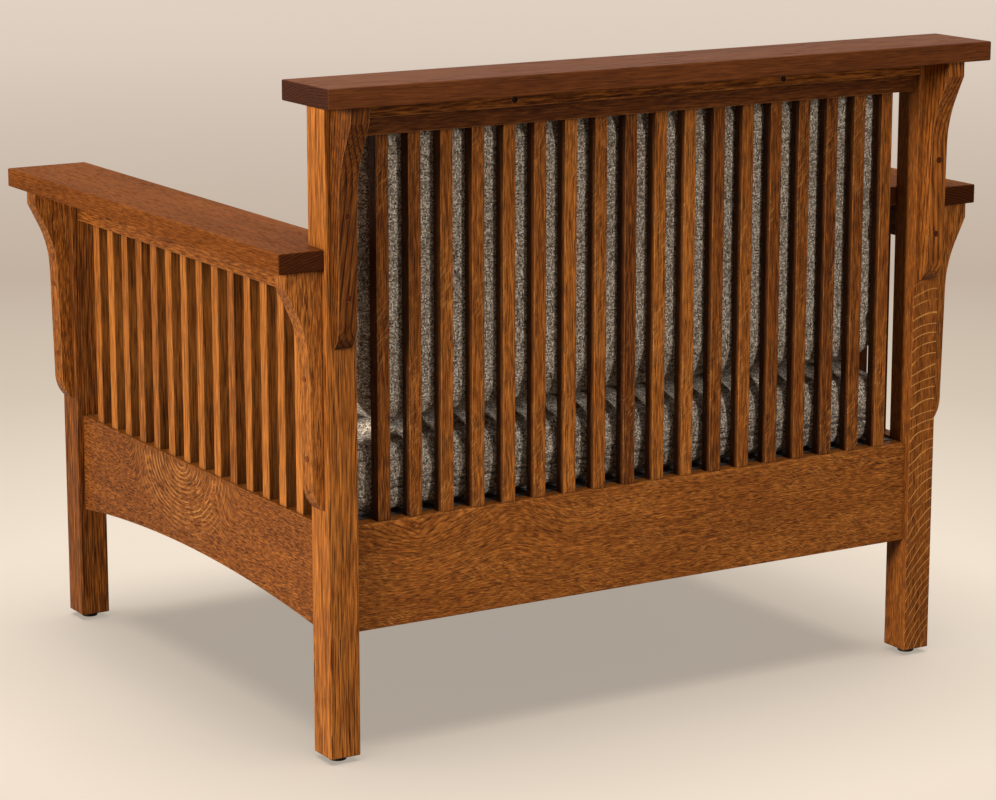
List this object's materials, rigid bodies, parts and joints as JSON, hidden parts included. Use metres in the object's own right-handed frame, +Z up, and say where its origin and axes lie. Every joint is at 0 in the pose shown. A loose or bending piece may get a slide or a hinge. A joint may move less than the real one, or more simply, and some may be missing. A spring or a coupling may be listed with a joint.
{
  "type": "mission armchair",
  "caption": "Wide oak mission armchair with a slatted spindle back and sides, flat arms on corbels, a cap board over the back, arched aprons and loose seat and back cushions.",
  "frame": {"origin": "on the floor, at the middle of the chair's outline seen from above", "axes": "+Z up, -Y to the front where the sitter faces, +X to the sitter's left"},
  "size_m": [1.132, 0.943, 0.907],
  "materials": {
    "oak_frame": "warm brown stained quarter-sawn oak, satin lacquer",
    "oak_plug": "dark face-grain oak plug, satin",
    "seat_hardwood": "plain hardwood, unfinished",
    "tweed": "taupe and grey tweed weave",
    "deck_fabric": "brown decking cloth",
    "dust_fabric": "black non-woven dust cloth",
    "strap_web": "woven elastic webbing",
    "zinc_screw": "zinc-plated steel",
    "black_screw": "blackened steel",
    "black_nylon": "black nylon"
  },
  "bodies": {
    "frame": {"rear_post_left": "oak_frame", "front_leg_left": "oak_frame", "side_apron_left": "oak_frame", "side_top_rail_left": "oak_frame", "side_spindles_left": "oak_frame", "arm_left": "oak_frame", "cap_corbel_left": "oak_frame", "arm_corbel_front_left": "oak_frame", "arm_corbel_rear_left": "oak_frame", "rear_post_right": "oak_frame", "front_leg_right": "oak_frame", "side_apron_right": "oak_frame", "side_top_rail_right": "oak_frame", "side_spindles_right": "oak_frame", "arm_right": "oak_frame", "cap_corbel_right": "oak_frame", "arm_corbel_front_right": "oak_frame", "arm_corbel_rear_right": "oak_frame", "top_cap": "oak_frame", "crest_cleat": "oak_frame", "back_top_rail": "oak_frame", "back_apron": "oak_frame", "front_apron": "oak_frame", "back_spindles": "oak_frame", "corbel_plugs": "oak_plug", "leg_glides": "black_nylon", "seat_ledger_left": "seat_hardwood", "seat_rail_left": "seat_hardwood", "seat_ledger_right": "seat_hardwood", "seat_rail_right": "seat_hardwood", "seat_ledger_front": "seat_hardwood", "seat_rail_front": "seat_hardwood", "seat_ledger_back": "seat_hardwood", "seat_rail_back": "seat_hardwood", "corner_block_front_left": "seat_hardwood", "corner_block_front_right": "seat_hardwood", "corner_block_rear_left": "seat_hardwood", "corner_block_rear_right": "seat_hardwood", "corbel_screws": "zinc_screw", "cap_screws": "zinc_screw", "arm_screws": "zinc_screw", "ledger_screws": "zinc_screw", "block_screws": "zinc_screw", "seat_screws": "zinc_screw", "cleat_screws": "black_screw", "seat_straps_lengthwise": "strap_web", "seat_straps_crosswise": "strap_web", "deck_cloth": "deck_fabric", "dust_cover": "dust_fabric"},
    "seat_cushion": {"seat_cushion": "tweed"},
    "back_cushion": {"back_cushion": "tweed"}
  },
  "joints": [
    {"name": "seat_cushion_pull", "type": "slide", "parent": "frame", "child": "seat_cushion", "axis": [0, -1, 0], "range_m": [0, 0.3]},
    {"name": "back_cushion_lift", "type": "slide", "parent": "frame", "child": "back_cushion", "axis": [0, -0.9063, 0.4226], "range_m": [0, 0.25]}
  ]
}
